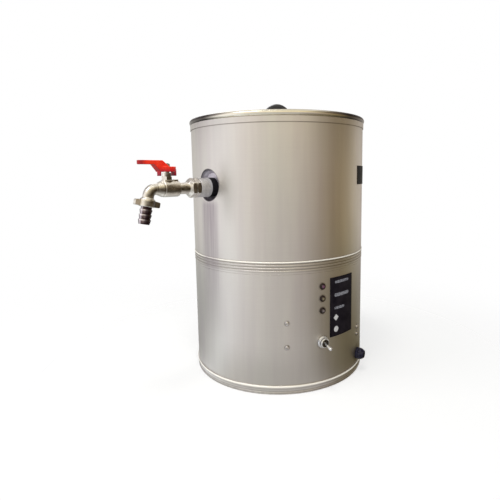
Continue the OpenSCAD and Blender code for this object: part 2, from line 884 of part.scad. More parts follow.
// Lever: round hub with two stop tabs, and an arm with a pocket for the nut
module tap_lever() {
    hub_wall = 2.8;
    front_tab_t = 1.8;
    back_tab_t = 3.6;
    pocket_r = lever_nut_af / sqrt(3) + 0.6;
    color(red) on_stem() difference() {
        union() {
            cylinder_at(hub_r, hub_z, hub_top);
            translate([-hub_r, -tab_w / 2, hub_z - tab_h]) cube([back_tab_t, tab_w, tab_h + hub_h / 2]);
            translate([hub_r - 0.8 - front_tab_t, -tab_w / 2, hub_z - tab_h])
                cube([front_tab_t, tab_w, tab_h + hub_h / 2]);
            intersection() {
                rotate([90, 0, 0]) linear_extrude(height = 4 * hub_r, center = true) lever_side();
                linear_extrude(height = grip_z + 1) lever_plan();
            }
        }
        cylinder_at(hub_r - hub_wall, hub_z - 1, recess_z);
        cylinder_at(lever_hole_r + fit, hub_z, grip_z + 1);
        cylinder_at(pocket_r, hub_top, grip_z + 1);
    }
}

module lever_nut() {
    color(polished) on_stem() rotate([0, -90, 0])
        hex_nut(lever_nut_af, lever_hole_r + fit, hub_top, hub_top + lever_nut_h);
}

// ---- Control panel ----

// Bezels: three flanged tubes through the casing, one for each lamp
module lamp_bezels() {
    neck = lamp_r - 1;
    bore = lamp_r - lamp_wall;
    back_x = -12;
    color(black) for (i = [-1:1]) on_wall(lamp_az, lamp_z + i * lamp_pitch) turned([
        [bore, back_x], [neck, back_x], [neck, fit], [lamp_r, fit], [lamp_r, lamp_out - 1],
        [lamp_r - 0.7, lamp_out], [bore, lamp_out]
    ]);
}

// Lens: a rod with a domed end inside the bezel
module lamp_lens(i) {
    r = lamp_r - lamp_wall - fit;
    dome = 0.55 * r;
    back_x = -10;
    color(lamp_colours[1 - i]) on_wall(lamp_az, lamp_z + i * lamp_pitch) turned(concat(
        [[0, back_x], [r, back_x]],
        [for (a = [0:15:90]) [r * cos(a), lamp_out - 0.2 + dome * sin(a)]]
    ));
}

module lamp_lens_top() {
    lamp_lens(1);
}

module lamp_lens_middle() {
    lamp_lens(0);
}

module lamp_lens_bottom() {
    lamp_lens(-1);
}

module control_plate() {
    color(navy) wall_plate(panel_az, panel_w, panel_z, panel_h);
}

module nameplate() {
    color(navy) wall_plate(nameplate_az, nameplate_w, casing_h - nameplate_drop - nameplate_h, nameplate_h);
}

module switch_washer() {
    washer_w = 3.6;
    color(polished) on_wall(switch_az, switch_z)
        collar(bush_r + fit, bush_r + fit + washer_w, washer_x, washer_x + washer_t);
}

module switch_nut() {
    start = washer_x + washer_t;
    wall = 2.2;
    color(polished) on_wall(switch_az, switch_z)
        hex_nut(2 * (bush_r + wall), bush_r + fit, start, start + switch_nut_t);
}

// Bush: threaded barrel through the casing with the lever's socket, its pin and a wide mouth
module switch_bush() {
    back_x = -14;
    edge = 0.4;
    mouth_r = bush_r - 1.2;
    seat_r = 2.4;
    color(polished) on_wall(switch_az, switch_z) difference() {
        turned([
            [0, back_x], [bush_r, back_x], [bush_r, bush_out - edge], [bush_r - edge, bush_out],
            [mouth_r, bush_out], [mouth_r, pivot_x + seat_r + edge], [seat_r, pivot_x + seat_r],
            [seat_r, pivot_x - seat_r], [0, pivot_x - seat_r]
        ]);
        pivot_pin(pivot_pin_r + fit, pivot_pin_l + fit);
    }
}

// Pin or hole across the bush at the lever's pivot
module pivot_pin(r, half_l) {
    translate([pivot_x, -half_l, 0]) rotate([-90, 0, 0]) cylinder(r = r, h = 2 * half_l);
}

// Dress nut: a plain ring on the end of the bush
module switch_ring() {
    r = bush_r + 1.3;
    edge = 0.5;
    end = bush_out - 0.2;
    start = end - 2.8;
    color(polished) on_wall(switch_az, switch_z) turned([
        [bush_r + fit, start], [r - edge, start], [r, start + edge], [r, end - edge],
        [r - edge, end], [bush_r + fit, end]
    ]);
}

// Switch lever: ball on a cross pin, slim bat and a rounded tip
module switch_lever() {
    ball = 2;
    tip_r = 2.7;
    bat_r = 1.5;
    color(polished) on_wall(switch_az, switch_z) {
        pivot_pin(pivot_pin_r, pivot_pin_l);
        translate([pivot_x, 0, 0]) rotate([0, switch_tilt, 0]) {
            sphere(r = ball, $fn = 48);
            turned([
                [0, 0], [bat_r, 0], [bat_r, switch_reach * 0.4], [tip_r - 0.2, switch_reach - 2],
                [tip_r, switch_reach], [0, switch_reach]
            ]);
            translate([switch_reach, 0, 0]) sphere(r = tip_r, $fn = 48);
        }
    }
}

// ---- Cable gland, inlet and screws ----

// Gland body: hexagon on the casing, with a thread behind it and one in the nut
module gland_body() {
    back_x = -9;
    color(black) on_wall(gland_az, gland_z) difference() {
        union() {
            hex_nut(gland_af, cable_r + seal_t, fit, gland_hex_l);
            rod(gland_shank_r, back_x, 1);
            rod(gland_shank_r, gland_hex_l - 1, gland_hex_l + gland_thread_l);
        }
        rod(cable_r + seal_t, back_x - 1, gland_out);
    }
}

// Gland nut: fluted barrel closing to a rounded mouth
module gland_nut() {
    r = gland_af / 2;
    start = gland_hex_l + 0.1;
    shoulder = gland_out - 6.4;
    flute_r = 1;
    flute_step = 30;
    color(black) on_wall(gland_az, gland_z) difference() {
        turned([
            [0, start], [r, start], [r, shoulder], [r - 0.6, shoulder + 2], [r - 1.7, shoulder + 4],
            [r - 3.5, gland_out], [0, gland_out]
        ]);
        rod(gland_shank_r + fit, start - 1, gland_hex_l + gland_thread_l + fit);
        rod(cable_r + seal_t, start, gland_out + 1);
        for (a = [0:flute_step:359]) rotate([a, 0, 0])
            translate([0, 0, r + flute_r / 2]) rod(flute_r, start - 1, shoulder + 1.5);
    }
}

module gland_seal() {
    color(black) on_wall(gland_az, gland_z)
        collar(cable_r, cable_r + seal_t - fit, seal_x, gland_out - 0.5);
}

// Slotted pan-head screw through the casing
module pan_screw() {
    screw_l = 8;
    head_h = 2.7;
    slot_w = 0.9;
    slot_depth = 1;
    difference() {
        union() {
            rod(screw_r, -screw_l, 1);
            turned([
                [0, fit], [screw_head_r, fit], [screw_head_r, 1.2], [screw_head_r - 0.7, 2.2],
                [screw_head_r - 1.8, head_h], [0, head_h]
            ]);
        }
        translate([head_h - slot_depth, -screw_head_r, -slot_w / 2]) cube([2, 2 * screw_head_r, slot_w]);
    }
}

// Casing screws: a pair on the front and a closer pair on the right side
module casing_screws() {
    color(polished) for (i = [0:1]) {
        on_wall(front_screw_az, front_screw_z + i * front_screw_gap) pan_screw();
        on_wall(side_screw_az, side_screw_z + i * side_screw_gap) pan_screw();
    }
}

// Inlet: threaded pipe through the casing, with a groove after the nut
module inlet_pipe() {
    back_x = -16;
    nut_end = inlet_nut_t + inlet_nut_x;
    end = nut_end + inlet_out;
    groove = 0.4;
    groove_l = 1;
    chamfer = 0.8;
    pipe_wall = 2.6;
    color(polished) on_wall(inlet_az, inlet_z) difference() {
        turned([
            [0, back_x], [inlet_r, back_x], [inlet_r, nut_end], [inlet_r - groove, nut_end],
            [inlet_r - groove, nut_end + groove_l], [inlet_r, nut_end + groove_l],
            [inlet_r, end - chamfer], [inlet_r - chamfer, end], [0, end]
        ]);
        rod(inlet_r - pipe_wall, back_x - 1, end + 1);
    }
}

module inlet_nut() {
    wall = 3;
    color(polished) on_wall(inlet_az, inlet_z)
        hex_nut(2 * (inlet_r + wall), inlet_r + fit, inlet_nut_x, inlet_nut_t + inlet_nut_x);
}

base_ring();
base_plate();
lower_casing();
upper_casing();
mouth_ring();
inner_tank();
tank_floor();
overflow_column();
column_collar();
column_cap();
lid_disc();
lid_ring();
lid_knob();
knob_screw();
tank_socket();
tap_cup();
tap_seal();
tap_spacer();
tap_locknut();
tap_body();
tap_spout();
union_nut();
hose_tail();
packing_nut();
valve_ball();
tap_stem();
tap_lever();
lever_nut();
lamp_bezels();
lamp_lens_top();
lamp_lens_middle();
lamp_lens_bottom();
control_plate();
nameplate();
switch_washer();
switch_nut();
switch_bush();
switch_ring();
switch_lever();
gland_body();
gland_nut();
gland_seal();
casing_screws();
inlet_pipe();
inlet_nut();
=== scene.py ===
import math

import bmesh
import bpy
from mathutils import Matrix, Vector


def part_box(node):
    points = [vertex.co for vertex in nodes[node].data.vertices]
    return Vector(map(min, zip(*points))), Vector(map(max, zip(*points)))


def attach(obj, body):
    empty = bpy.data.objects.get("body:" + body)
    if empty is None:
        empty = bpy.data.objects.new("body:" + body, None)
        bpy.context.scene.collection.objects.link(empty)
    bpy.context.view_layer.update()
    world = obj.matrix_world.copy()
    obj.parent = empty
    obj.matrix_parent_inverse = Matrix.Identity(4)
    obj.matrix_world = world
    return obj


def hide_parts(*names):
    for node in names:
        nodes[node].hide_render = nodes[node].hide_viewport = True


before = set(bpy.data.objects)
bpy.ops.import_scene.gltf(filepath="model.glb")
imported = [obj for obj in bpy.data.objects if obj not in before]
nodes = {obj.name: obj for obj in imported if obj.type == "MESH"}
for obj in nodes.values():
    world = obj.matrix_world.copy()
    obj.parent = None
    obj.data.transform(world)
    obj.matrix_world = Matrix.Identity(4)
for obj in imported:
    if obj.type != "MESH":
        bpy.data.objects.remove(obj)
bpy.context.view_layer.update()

scene = bpy.context.scene


# ---- Camera ----
# It stands in front of the boiler and to the left of the control plate, a little above the
# belt, and looks slightly down. Its lens is set off centre as the view's framing needs.
camera_distance = 0.7505
camera_height = 0.3371
camera_azimuth = math.radians(-44)
camera_yaw = 0.0022
camera_pitch = math.radians(7.17)
camera_roll = -0.0119
camera_data = bpy.data.cameras.new("camera")
camera_data.lens = 29.68
camera_data.sensor_width = 36
camera_data.shift_x = -0.054
camera_data.shift_y = -0.046
camera_data.clip_start = 0.05
camera_data.clip_end = 20
camera = bpy.data.objects.new("camera", camera_data)
camera.matrix_world = (
    Matrix.Translation((
        math.sin(camera_azimuth) * camera_distance,
        -math.cos(camera_azimuth) * camera_distance,
        camera_height,
    ))
    @ Matrix.Rotation(camera_azimuth + camera_yaw, 4, "Z")
    @ Matrix.Rotation(math.pi / 2 - camera_pitch, 4, "X")
    @ Matrix.Rotation(camera_roll, 4, "Z")
)
scene.collection.objects.link(camera)
scene.camera = camera
scene.view_settings.view_transform = "Standard"


# ---- Studio: world and lamps ----
# A plain white room. Its light is grey on rough surfaces, and white where the camera, metal
# or glass look at it. One soft lamp hangs overhead, with a small one in it for glints, one
# stands on the left, and a weak one fills from the front.
def put(tree, kind, values=None, **settings):
    """Adds a shader node, with its settings, and with its inputs set or linked."""
    node = tree.nodes.new("ShaderNode" + kind)
    for key, value in settings.items():
        setattr(node, key, value)
    for key, value in (values or {}).items():
        if isinstance(value, bpy.types.NodeSocket):
            tree.links.new(value, node.inputs[key])
        else:
            node.inputs[key].default_value = value
    return node


def compute(tree, operation, first, second=0.5, clamp=False):
    """Math on two values, as one output."""
    node = put(tree, "Math", {0: first, 1: second}, operation=operation, use_clamp=clamp)
    return node.outputs[0]


def spread_to(tree, value, low, high):
    """A mask from 0 to 1, spread to a range."""
    return put(tree, "MapRange", {"Value": value, "To Min": low, "To Max": high}).outputs["Result"]


room_level = 0.52
world = bpy.data.worlds.new("studio")
scene.world = world
world.use_nodes = True
tree = world.node_tree
tree.nodes.clear()
path = put(tree, "LightPath").outputs
seen = compute(tree, "MAXIMUM", path["Is Camera Ray"], path["Is Glossy Ray"])
seen = compute(tree, "MAXIMUM", seen, path["Is Transmission Ray"])
strength = spread_to(tree, seen, room_level, 1.0)
background = put(tree, "Background", {"Color": (1, 1, 1, 1), "Strength": strength})
put(tree, "OutputWorld", {"Surface": background.outputs[0]})


def lamp(name, azimuth, distance, height, aim, size, watts, color=(1, 1, 1), shines=False):
    """Soft square lamp that looks at a point on the boiler's axis, and that metal may show."""
    data = bpy.data.lights.new(name, "AREA")
    data.size = size
    data.energy = watts
    data.color = color
    lamp_object = bpy.data.objects.new(name, data)
    turned = math.radians(azimuth)
    spot = Vector((math.sin(turned) * distance, -math.cos(turned) * distance, height))
    turn = (Vector((0, 0, aim)) - spot).to_track_quat("-Z", "Y")
    lamp_object.matrix_world = Matrix.Translation(spot) @ turn.to_matrix().to_4x4()
    lamp_object.visible_glossy = shines
    scene.collection.objects.link(lamp_object)


hung = {"azimuth": -60, "distance": 0.45, "height": 1.9, "aim": 0.35, "color": (1.0, 0.98, 0.93)}
lamp("overhead", size=0.42, watts=11, **hung)
lamp("glint", size=0.15, watts=1.5, shines=True, **hung)
lamp("window", azimuth=-118, distance=2.2, height=0.9, aim=0.25, size=1.2, watts=25)
lamp("fill", azimuth=-30, distance=2.4, height=1.0, aim=0.25, size=1.0, watts=15)


# ---- Studio: floor ----
# A pale paper floor that fades out into the white all round. Metal and gloss don't show it,
# because the room stands in for the ground there.
def times(tree, first, second):
    """Product of two values, such as where two masks meet."""
    return compute(tree, "MULTIPLY", first, second)


def plus(tree, first, second):
    """Sum of two values."""
    return compute(tree, "ADD", first, second)


def minus(tree, first, second):
    """First value less the second."""
    return compute(tree, "SUBTRACT", first, second)


def off_by(tree, value, middle):
    """How far a value lies from a middle, either way."""
    return compute(tree, "ABSOLUTE", minus(tree, value, middle))


def slope(tree, value, start, end):
    """A straight rise from 0 at start to 1 at end."""
    node = put(tree, "MapRange", {"Value": value, "From Min": start, "From Max": end})
    return node.outputs["Result"]


def step(tree, value, start, end):
    """A smooth step from 0 at start to 1 at end."""
    node = put(tree, "MapRange", {"Value": value, "From Min": start, "From Max": end},
               interpolation_type="SMOOTHSTEP")
    return node.outputs["Result"]


def split(tree, vector):
    """The three parts of a place or a direction."""
    return put(tree, "SeparateXYZ", {0: vector}).outputs


def length(tree, vector):
    """Length of a vector, or distance of a place from the origin."""
    return put(tree, "VectorMath", {0: vector}, operation="LENGTH").outputs["Value"]


def bare_material(name):
    """New material, and its empty node tree."""
    material = bpy.data.materials.new(name)
    material.use_nodes = True
    material.node_tree.nodes.clear()
    return material, material.node_tree


def mesh_object(name, shape):
    """Puts a bmesh in the scene as an object of its own."""
    mesh = bpy.data.meshes.new(name)
    shape.to_mesh(mesh)
    shape.free()
    new_object = bpy.data.objects.new(name, mesh)
    scene.collection.objects.link(new_object)
    return new_object


floor_radius = 3
fade_start = 0.22
fade_end = 0.75
clear_in_middle = 0.62
floor_shape = bmesh.new()
bmesh.ops.create_circle(floor_shape, cap_ends=True, segments=96, radius=floor_radius)
floor = mesh_object("floor", floor_shape)
floor_material, tree = bare_material("floor")
spread = length(tree, put(tree, "TexCoord").outputs["Object"])
fade = spread_to(tree, step(tree, spread, fade_start, fade_end), clear_in_middle, 1.0)
paper = put(tree, "BsdfDiffuse", {"Color": (0.97, 0.97, 0.97, 1)})
clear = put(tree, "BsdfTransparent")
mixed = put(tree, "MixShader", {0: fade, 1: paper.outputs[0], 2: clear.outputs[0]})
put(tree, "OutputMaterial", {"Surface": mixed.outputs[0]})
floor.data.materials.append(floor_material)
floor.visible_glossy = False


# ---- Studio: room ----
# A round room that only metal and gloss show. Its wall is bright on the left, where the
# windows are, and brown and shaded on the right, and its ground is darker. It has a pale
# ceiling, a window high at the back, and a skylight on the left.
def blend(tree, factor, first, second):
    """Mix of two colours, each a socket or three numbers."""
    colors = [color if isinstance(color, bpy.types.NodeSocket) else (*color, 1)
              for color in (first, second)]
    node = put(tree, "Mix", {0: factor, 6: colors[0], 7: colors[1]}, data_type="RGBA")
    return node.outputs[2]


def from_axis_of(tree, first, second):
    """Distance from an axis, from the two parts of a place that lie across it."""
    return length(tree, put(tree, "CombineXYZ", {0: first, 1: second}).outputs[0])


def stripe(tree, value, middle, reach, full):
    """A stripe along a middle: 1 as far out as full, and fading to 0 at reach."""
    return step(tree, off_by(tree, value, middle), reach, full)


def band(tree, value, start, end, edge):
    """A band from start to end, with soft edges inside it."""
    return times(tree, step(tree, value, start, start + edge), step(tree, value, end, end - edge))


def round_the_room(tree, share, stops):
    """Colours round the room, from (azimuth in degrees, colour) stops."""
    node = put(tree, "ValToRGB", {0: share})
    elements = node.color_ramp.elements
    while len(elements) < len(stops):
        elements.new(1)
    for element, (degrees, color) in zip(elements, stops):
        element.position = (degrees + 180) / 360
        element.color = (*color, 1)
    return node.outputs["Color"]


room_radius = 2.4
room_height = 2.0
room_shape = bmesh.new()
bmesh.ops.create_cone(room_shape, cap_ends=True, segments=96, radius1=room_radius,
                      radius2=room_radius, depth=room_height)
below_floor = 0.002
lift = (0, 0, room_height / 2 - below_floor)
bmesh.ops.translate(room_shape, verts=room_shape.verts, vec=lift)
room = mesh_object("room", room_shape)
room_material, tree = bare_material("room")
x, y, z = split(tree, put(tree, "TexCoord").outputs["Object"])
azimuth = compute(tree, "ARCTAN2", x, times(tree, y, -1.0))
share = slope(tree, azimuth, -math.pi, math.pi)
from_axis = from_axis_of(tree, x, y)
wall_color = round_the_room(tree, share, [
    (-180, (0.70, 0.68, 0.64)),
    (-169, (0.80, 0.78, 0.75)),
    (-148, (0.91, 0.89, 0.86)),
    (-127, (1.24, 1.20, 1.22)),
    (-105, (1.15, 1.15, 1.16)),
    (-82, (0.89, 0.84, 0.78)),
    (-61, (0.67, 0.64, 0.59)),
    (-20, (0.60, 0.55, 0.52)),
    (1, (0.48, 0.41, 0.37)),
    (13, (0.40, 0.32, 0.25)),
    (30, (0.28, 0.21, 0.11)),
    (50, (0.40, 0.31, 0.165)),
    (70, (0.64, 0.56, 0.44)),
    (90, (0.70, 0.64, 0.57)),
    (110, (0.58, 0.54, 0.49)),
    (150, (0.60, 0.58, 0.55)),
    (180, (0.70, 0.68, 0.64)),
])
ground_color = round_the_room(tree, share, [
    (-180, (0.40, 0.42, 0.40)),
    (-150, (0.37, 0.375, 0.37)),
    (-127, (0.61, 0.615, 0.61)),
    (-105, (0.97, 0.99, 1.01)),
    (-82, (0.76, 0.76, 0.73)),
    (-61, (0.63, 0.62, 0.60)),
    (-20, (0.51, 0.485, 0.465)),
    (1, (0.245, 0.218, 0.172)),
    (13, (0.20, 0.172, 0.116)),
    (30, (0.130, 0.108, 0.062)),
    (50, (0.150, 0.128, 0.078)),
    (75, (0.30, 0.28, 0.24)),
    (110, (0.33, 0.31, 0.29)),
    (180, (0.46, 0.48, 0.46)),
])
roof_color = round_the_room(tree, share, [
    (-180, (0.34, 0.32, 0.30)),
    (-150, (0.34, 0.31, 0.32)),
    (-128, (0.45, 0.42, 0.43)),
    (-112, (1.05, 1.00, 0.98)),
    (-85, (1.10, 1.02, 0.90)),
    (-44, (1.05, 0.95, 0.72)),
    (-10, (0.90, 0.78, 0.52)),
    (25, (0.16, 0.12, 0.08)),
    (60, (0.13, 0.10, 0.08)),
    (110, (0.30, 0.27, 0.25)),
    (180, (0.34, 0.32, 0.30)),
])
ground_reach = 1.8
ground_full = 0.7
roof_start = 0.68
roof_full = 0.82
ceiling_height = 1.90
ceiling_reach = 1.5
ceiling_full = 1.0
window_azimuth = math.radians(153)
window_sill = 1.15
skylight_azimuth = math.radians(-92)
skylight_near = 0.85
skylight_far = 1.75

# From the ground round the boiler up the wall to the roof, and then the ceiling and windows
ground = times(tree, step(tree, from_axis, ground_reach, ground_full), slope(tree, z, 1.0, 0.0))
lit = blend(tree, ground, wall_color, ground_color)
lit = blend(tree, step(tree, z, roof_start, roof_full), lit, roof_color)
on_top = step(tree, z, ceiling_height, ceiling_height + 0.06)
ceiling = times(tree, on_top, step(tree, from_axis, ceiling_reach, ceiling_full))
lit = blend(tree, ceiling, lit, (0.78, 0.74, 0.66))
window = slope(tree, off_by(tree, azimuth, window_azimuth), 0.26, 0.20)
window = times(tree, window, slope(tree, z, window_sill, window_sill + 0.1))
window = times(tree, window, slope(tree, from_axis, 1.6, 1.7))
lit = blend(tree, window, lit, (2.2, 2.2, 2.3))
skylight = times(tree, stripe(tree, azimuth, skylight_azimuth, 0.36, 0.28),
                 band(tree, from_axis, skylight_near, skylight_far, 0.1))
lit = blend(tree, times(tree, skylight, on_top), lit, (3.6, 3.6, 3.7))
glow = put(tree, "Emission", {"Color": lit})
put(tree, "OutputMaterial", {"Surface": glow.outputs[0]})
room.data.materials.append(room_material)
room.visible_camera = False
room.visible_diffuse = False
room.visible_transmission = False
room.visible_shadow = False


# ---- Casing ----
# Two courses of rolled stainless sheet, ground round and round to a satin finish. The sheet
# isn't quite true, so that reflections waver, and soft upright streaks of tone are painted in
# for the upright smear of its reflections. It is darker towards the foot. It has painted shade
# in the belt's grooves, under the mouth's skirt and round the tap's hole, a painted highlight on
# the top bead, and dirt with painted contact shade round what is fixed to it. Below the tap is
# a lilac band, a painted reflection of the tap and hose tail, as the main view needs.
def shader_group(name, vectors, numbers, result):
    """Empty shader group: its tree, its inputs, and the input of its output node."""
    group = bpy.data.node_groups.new(name, "ShaderNodeTree")
    for socket in vectors:
        group.interface.new_socket(socket, in_out="INPUT", socket_type="NodeSocketVector")
    for socket in numbers:
        group.interface.new_socket(socket, in_out="INPUT", socket_type="NodeSocketFloat")
    group.interface.new_socket(result, in_out="OUTPUT", socket_type="NodeSocketFloat")
    given = group.nodes.new("NodeGroupInput").outputs
    return group, given, group.nodes.new("NodeGroupOutput").inputs[result]


def use(tree, group, values):
    """Places a shader group with its inputs set or linked, and returns its outputs."""
    return put(tree, "Group", values, node_tree=group).outputs


def finish(name, **plain):
    """New material with a Principled shader whose plain values are given."""
    material, tree = bare_material(name)
    values = {key.replace("_", " ").title().replace("Ior", "IOR"): value
              for key, value in plain.items()}
    shader = put(tree, "BsdfPrincipled", values)
    put(tree, "OutputMaterial", {"Surface": shader.outputs[0]})
    place = put(tree, "TexCoord").outputs["Object"]
    return material, tree, shader, place


def dress(tree, shader, color, rough, normal=None, metal=None):
    """Links what changes over the surface to the shader."""
    parts = {"Base Color": color, "Roughness": rough, "Normal": normal, "Metallic": metal}
    for name, output in parts.items():
        if output is not None:
            tree.links.new(output, shader.inputs[name])


def stain(tree, color, mask, strength, tint):
    """A colour, stained with a tint where a mask is, up to a strength."""
    return blend(tree, times(tree, mask, strength), color, tint)


def relief(tree, height, depth, under=None):
    """Normal of a surface raised by a height mask, up to a depth in metres."""
    values = {"Height": height, "Distance": depth, "Strength": 1.0}
    if under is not None:
        values["Normal"] = under
    return put(tree, "Bump", values).outputs["Normal"]


def paint(material, *names):
    """Gives CAD nodes a material."""
    for name in names:
        for slot in nodes[name].material_slots:
            slot.material = material


# Grain of fine lines round the upright axis: so many to a metre across, and few along
ground_rings, given, result = shader_group(
    "ground_rings", ["Place"], ["Across", "Along", "Detail"], "Grain")
x, y, z = split(ground_rings, given["Place"])
radius = from_axis_of(ground_rings, x, y)
across = times(ground_rings, plus(ground_rings, radius, z), given["Across"])
clear_of_axis = compute(ground_rings, "MAXIMUM", radius, 0.002)
along = compute(ground_rings, "DIVIDE", given["Along"], clear_of_axis)
spot = put(ground_rings, "CombineXYZ", {
    0: across, 1: times(ground_rings, x, along), 2: times(ground_rings, y, along)})
noise = put(ground_rings, "TexNoise", {
    "Vector": spot.outputs[0], "Scale": 1.0, "Detail": given["Detail"]})
ground_rings.links.new(noise.outputs["Fac"], result)

# Uneven patches of a size, which can be drawn out upright
soft_patches, given, result = shader_group(
    "soft_patches", ["Place"], ["Size", "Upright", "Detail", "Contrast"], "Patches")
x, y, z = split(soft_patches, given["Place"])
flat = compute(soft_patches, "DIVIDE", z, given["Upright"])
spot = put(soft_patches, "CombineXYZ", {0: x, 1: y, 2: flat})
scale = compute(soft_patches, "DIVIDE", 1.0, given["Size"])
noise = put(soft_patches, "TexNoise", {
    "Vector": spot.outputs[0], "Scale": scale, "Detail": given["Detail"]})
spread = times(soft_patches, minus(soft_patches, noise.outputs["Fac"], 0.5), given["Contrast"])
patched = compute(soft_patches, "ADD", spread, 0.5, clamp=True)
soft_patches.links.new(patched, result)

# Distance over a sheet from a point or a level line
flat_distance, given, result = shader_group(
    "flat_distance", [], ["Arc", "Height", "Middle", "Level", "Half length"], "Distance")
beside = off_by(flat_distance, given["Arc"], given["Middle"])
beside = compute(flat_distance, "MAXIMUM", minus(flat_distance, beside, given["Half length"]), 0.0)
above = minus(flat_distance, given["Height"], given["Level"])
square = plus(flat_distance, times(flat_distance, beside, beside), times(flat_distance, above, above))
flat_distance.links.new(compute(flat_distance, "SQRT", square), result)


def grain(tree, place, across, along, detail):
    """Fine lines round the upright axis, as grinding and buffing leave."""
    values = {"Place": place, "Across": across, "Along": along, "Detail": detail}
    return use(tree, ground_rings, values)["Grain"]


def patches(tree, place, size, upright=1, detail=3, contrast=1):
    """Soft uneven patches of a size in metres, drawn out upright by a factor."""
    values = {"Place": place, "Size": size, "Upright": upright, "Detail": detail, "Contrast": contrast}
    return use(tree, soft_patches, values)["Patches"]


def distance_to(tree, arc, height, middle, level, half_length=0.0):
    """Distance over the sheet from a point, or from a level line of a half length."""
    values = {"Arc": arc, "Height": height, "Middle": middle, "Level": level, "Half length": half_length}
    return use(tree, flat_distance, values)["Distance"]


def merged_copy(node_name):
    """A CAD node's shape as a bmesh, with its loose triangles joined up."""
    shape = bmesh.new()
    shape.from_mesh(nodes[node_name].data)
    bmesh.ops.remove_doubles(shape, verts=shape.verts, dist=1e-6)
    return shape


def islands(node_name):
    """Middle of each separate solid of a CAD node."""
    shape = merged_copy(node_name)
    left = set(shape.verts)
    middles = []
    while left:
        found = [left.pop()]
        for vert in found:
            joined = {edge.other_vert(vert) for edge in vert.link_edges} & left
            left -= joined
            found.extend(joined)
        middles.append(sum((vert.co for vert in found), Vector()) / len(found))
    shape.free()
    return middles


casing_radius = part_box("lower_casing")[1][0]
casing_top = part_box("mouth_ring")[1][2]
seam_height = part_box("upper_casing")[0][2]
tap_height = sum(corner[2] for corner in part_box("tap_locknut")) / 2


def arc_of(tree, x, y):
    """Distance round the casing from the middle of its front, to the right."""
    return times(tree, compute(tree, "ARCTAN2", x, times(tree, y, -1.0)), casing_radius)


def satin_steel(name):
    """Satin steel sheet, with its colour, roughness and normal still to be linked."""
    material, tree, shader, place = finish(name, metallic=1.0)
    fine = grain(tree, place, across=2600, along=4, detail=3)
    coarse = grain(tree, place, across=420, along=2, detail=2)
    # Soft upright streaks of tone, painted in for the upright smear of the reflections
    streaks = patches(tree, place, 0.014, upright=14, contrast=1.6)
    clouds = patches(tree, place, 0.07, upright=1.6, contrast=1.8)
    tints = patches(tree, place, 0.05, upright=5, detail=2, contrast=2.4)
    waver = patches(tree, place, 0.075, upright=1.5, detail=1)
    color = blend(tree, streaks, (0.665, 0.625, 0.635), (0.800, 0.775, 0.745))
    color = stain(tree, color, coarse, 0.26, (0.62, 0.58, 0.56))
    color = stain(tree, color, clouds, 0.18, (0.66, 0.60, 0.56))
    color = stain(tree, color, tints, 0.50, (0.700, 0.715, 0.655))
    rough = plus(tree, spread_to(tree, fine, 0.30, 0.46), spread_to(tree, clouds, -0.03, 0.05))
    normal = relief(tree, coarse, 0.000006, relief(tree, waver, 0.0011))
    return material, tree, shader, place, color, rough, normal


casing_steel, tree, shader, place, color, rough, normal = satin_steel("casing_steel")
x, y, height = split(tree, place)
arc = arc_of(tree, x, y)

# Painted shade in the grooves between the belt's beads, and a painted highlight along the top one
belt_start = 0.005
belt_pitch = 0.0044
belt_beads = 4
belt_height = minus(tree, height, seam_height + belt_start)
wave = compute(tree, "COSINE", times(tree, belt_height, 2 * math.pi / belt_pitch))
in_belt = band(tree, belt_height, -0.6 * belt_pitch, (belt_beads - 0.4) * belt_pitch, 0.3 * belt_pitch)
# Painted shade: the grooves between the beads are darkened
groove = times(tree, step(tree, wave, -0.35, -0.95), in_belt)
color = stain(tree, color, groove, 0.72, (0.20, 0.17, 0.13))
top_bead = (belt_beads - 1) * belt_pitch + 0.0004
# Painted highlight: a pale, less metallic line along the top bead
painted_bead_highlight = stripe(tree, belt_height, top_bead, 0.0013, 0.0005)
color = blend(tree, painted_bead_highlight, color, (0.93, 0.90, 0.82))
metal = spread_to(tree, painted_bead_highlight, 1.0, 0.25)

# Darker and duller towards the foot
foot_darkening_top = 0.085
foot_darkening_full = 0.025
color = stain(tree, color, step(tree, height, foot_darkening_top, foot_darkening_full), 0.30, (0.40, 0.385, 0.35))

# Painted shade under the mouth's skirt, and round the edge of the tap's hole
skirt_depth = 0.0088
shade_under_skirt = stripe(tree, height, casing_top - skirt_depth, 0.0009, 0.0003)
color = stain(tree, color, shade_under_skirt, 0.60, (0.20, 0.17, 0.15))
cup_low, cup_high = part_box("tap_cup")
cup_middle = (cup_low[2] + cup_high[2]) / 2
hole_radius = (cup_high[2] - cup_low[2]) / 2
from_hole = distance_to(tree, y, height, 0.0, cup_middle)
shaded_hole_edge = step(tree, from_hole, hole_radius + 0.0014, hole_radius + 0.0006)
tap_side = step(tree, x, -0.1 * casing_radius, -0.2 * casing_radius)
color = stain(tree, color, times(tree, shaded_hole_edge, tap_side), 0.80, (0.10, 0.09, 0.10))

# Painted reflection of the tap and hose tail: a lilac band of upright streaks below the tap,
# as the main view needs
tap_arc = -math.pi / 2 * casing_radius
reflection_top = tap_height - 0.015
reflection_full = tap_height - 0.03
reflection_end = 0.03
reflection_runs = patches(tree, place, 0.004, upright=40, contrast=2.4)
below_tap = times(tree, step(tree, height, reflection_top, reflection_full), step(tree, height, reflection_end, reflection_full))
tap_reflection_band = times(tree, stripe(tree, arc, tap_arc, 0.027, 0.009), below_tap)
tap_reflection_band = times(tree, tap_reflection_band, spread_to(tree, reflection_runs, 0.45, 1.0))
color = stain(tree, color, tap_reflection_band, 0.82, (0.35, 0.30, 0.35))
rough = plus(tree, rough, times(tree, tap_reflection_band, 0.12))

